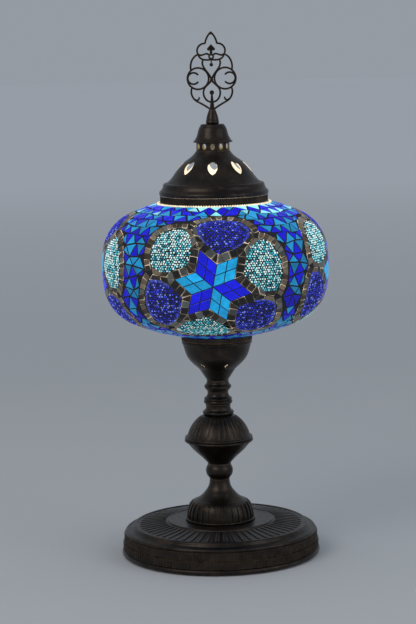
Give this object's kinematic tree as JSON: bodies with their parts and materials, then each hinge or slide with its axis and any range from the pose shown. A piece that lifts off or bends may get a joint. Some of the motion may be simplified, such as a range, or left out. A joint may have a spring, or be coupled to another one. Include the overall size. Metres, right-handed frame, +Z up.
{
  "type": "mosaic glass table lamp",
  "caption": "Table lamp with a turned dark bronze stem on a round base, an oval mosaic glass globe, a pierced domed cap and a filigree finial.",
  "frame": {"origin": "centre of the felt underside, where the lamp stands", "axes": "+Z up along the stem to the finial, -Y towards the front, +X to the viewer's right"},
  "size_m": [0.2999, 0.3, 0.695],
  "materials": {
    "felt": "black adhesive felt",
    "antique_bronze": "oil-rubbed antique bronze, worn to brass on the edges",
    "zinc_steel": "zinc plated",
    "weight_iron": "as cast",
    "black_plastic": "moulded",
    "terminal_white": "moulded",
    "contact_brass": "bright",
    "lead_insulation": "brown insulation",
    "earth_insulation": "green and yellow insulation",
    "porcelain": "glazed",
    "gasket_rubber": "soft black",
    "globe_glass": "clear blown glass",
    "mosaic": "lit glass tiles in dark grout",
    "trim_beads": "polished beads",
    "bulb_black": "black vitrite",
    "bulb_metal": "bright",
    "bulb_clear": "clear",
    "bulb_filament": "lit filament rods"
  },
  "bodies": {
    "lamp": {"base_cover": "zinc_steel", "base_shell": "antique_bronze", "base_weight": "weight_iron", "centre_contact": "contact_brass", "collar_low": "antique_bronze", "collar_mid": "antique_bronze", "collar_top": "antique_bronze", "cord_gland": "black_plastic", "cover_screws": "zinc_steel", "earth_lead": "earth_insulation", "earth_screw": "zinc_steel", "earth_tag": "zinc_steel", "felt_pad": "felt", "foot_bell": "antique_bronze", "foot_ring": "antique_bronze", "gallery_cup": "antique_bronze", "gallery_plate": "zinc_steel", "gland_nut": "black_plastic", "glass_globe": "globe_glass", "globe_gasket": "gasket_rubber", "holder_cap": "black_plastic", "holder_core": "porcelain", "holder_sleeve": "black_plastic", "knop_lower": "antique_bronze", "knop_ring": "antique_bronze", "knop_upper": "antique_bronze", "mosaic_coat": "mosaic", "neck_bead": "antique_bronze", "rod_nuts": "zinc_steel", "rod_washer": "zinc_steel", "screw_shell": "contact_brass", "shade_ring": "black_plastic", "side_knurl_high": "antique_bronze", "side_knurl_low": "antique_bronze", "stem_rod": "zinc_steel", "supply_leads": "lead_insulation", "terminal_block": "terminal_white", "terminal_screws": "contact_brass", "trim_ring": "trim_beads"},
    "bulb": {"bulb_contact": "contact_brass", "bulb_insulator": "bulb_black", "bulb_cap": "bulb_metal", "bulb_glass": "bulb_clear", "bulb_mount": "bulb_filament"},
    "cap": {"cap_dome": "antique_bronze", "cap_knurl": "antique_bronze", "centring_tabs": "zinc_steel", "tab_rivets": "zinc_steel", "pierced_band": "antique_bronze", "cap_bridge": "zinc_steel", "cap_stud": "zinc_steel", "cap_nut": "zinc_steel", "crown": "antique_bronze"},
    "finial": {"spindle": "antique_bronze", "finial": "antique_bronze"}
  },
  "joints": [
    {"name": "cap_lift", "type": "slide", "parent": "lamp", "child": "cap", "axis": [0, 0, 1], "range_m": [0, 0.16]},
    {"name": "finial_turn", "type": "hinge", "parent": "cap", "child": "finial", "pos_m": [0, 0, 0.58], "axis": [0, 0, 1], "range_deg": [0, 1800]},
    {"name": "bulb_turn", "type": "hinge", "parent": "lamp", "child": "bulb", "pos_m": [0, 0, 0.3], "axis": [0, 0, 1], "range_deg": [0, 1080]}
  ]
}
